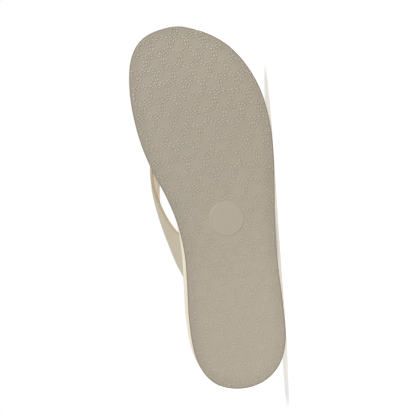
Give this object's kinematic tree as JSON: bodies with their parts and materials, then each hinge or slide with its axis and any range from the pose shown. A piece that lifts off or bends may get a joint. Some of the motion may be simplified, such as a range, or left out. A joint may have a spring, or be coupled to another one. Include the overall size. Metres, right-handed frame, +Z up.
{
  "type": "toe post sandal",
  "caption": "Left toe post sandal: a V of cream leather straps and a toe post on a wedge sole with a greige rubber tread, lying on its side.",
  "frame": {"origin": "centre of the bounding box on the ground that the shoe lies on", "axes": "+X from heel to toe, level; +Y from the tread towards the straps; +Z up, from the lateral side that the shoe lies on to the medial side"},
  "size_m": [0.2568, 0.0694, 0.0981],
  "materials": {
    "tread_rubber": "matte greige rubber with a low moulded relief",
    "wedge_foam": "matte cream foam rubber",
    "footbed_leather": "smooth cream leather",
    "strap_leather": "smooth cream leather with tan cut edges"
  },
  "bodies": {
    "root": {"outsole": "tread_rubber", "midsole": "wedge_foam", "insole": "footbed_leather", "upper": "strap_leather", "toe_post": "strap_leather"}
  },
  "joints": []
}
